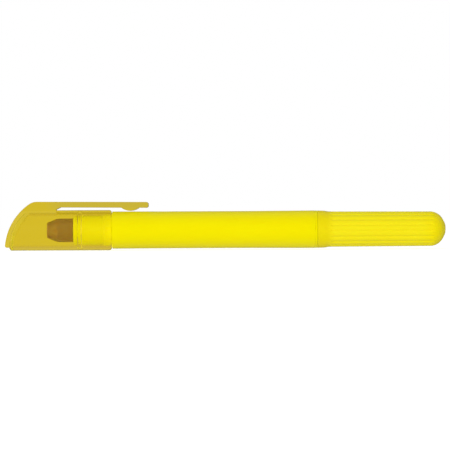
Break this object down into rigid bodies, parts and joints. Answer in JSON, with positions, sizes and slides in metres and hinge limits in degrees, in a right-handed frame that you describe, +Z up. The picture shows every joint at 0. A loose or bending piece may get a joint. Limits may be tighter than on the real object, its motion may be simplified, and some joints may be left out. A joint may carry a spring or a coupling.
{
  "type": "retractable highlighter",
  "caption": "Twist-up gel highlighter: clear amber clip cap over a wax-gel stick, yellow barrel, and a ribbed rear knob whose lead screw feeds the stick.",
  "frame": {"origin": "centre of the bounding box's base, under the middle of the pen's length, at the height of the cap tube's lowest line", "axes": "+X along the pen from the cap's nose to the twist knob, +Z up through the pocket clip"},
  "size_m": [0.14, 0.0128, 0.0155],
  "materials": {
    "clear_amber": "clear tinted polypropylene, glossy",
    "yellow_plastic": "fluorescent yellow moulded plastic, satin gloss",
    "white_plastic": "natural white acetal",
    "gel_wax": "translucent waxy gel"
  },
  "bodies": {
    "barrel": {"barrel": "yellow_plastic", "rear_bush": "yellow_plastic"},
    "cap": {"cap": "clear_amber"},
    "knob": {"knob": "yellow_plastic", "lead_screw": "white_plastic"},
    "carrier": {"stick_carrier": "white_plastic", "drive_nut": "white_plastic", "gel_stick": "gel_wax"}
  },
  "joints": [
    {"name": "cap_slide", "type": "slide", "parent": "barrel", "child": "cap", "axis": [-1, 0, 0], "range_m": [0, 0.04]},
    {"name": "knob_turn", "type": "hinge", "parent": "barrel", "child": "knob", "pos_m": [0.05, 0, 0.00638], "axis": [-1, 0, 0], "range_deg": [-800, 672]},
    {"name": "stick_feed", "type": "slide", "parent": "barrel", "child": "carrier", "axis": [-1, 0, 0], "range_m": [-0.0087, 0.0073]}
  ],
  "couplings": [
    {"joint": "knob_turn", "follows": "stick_feed", "rad_per_m": 1570.8}
  ]
}
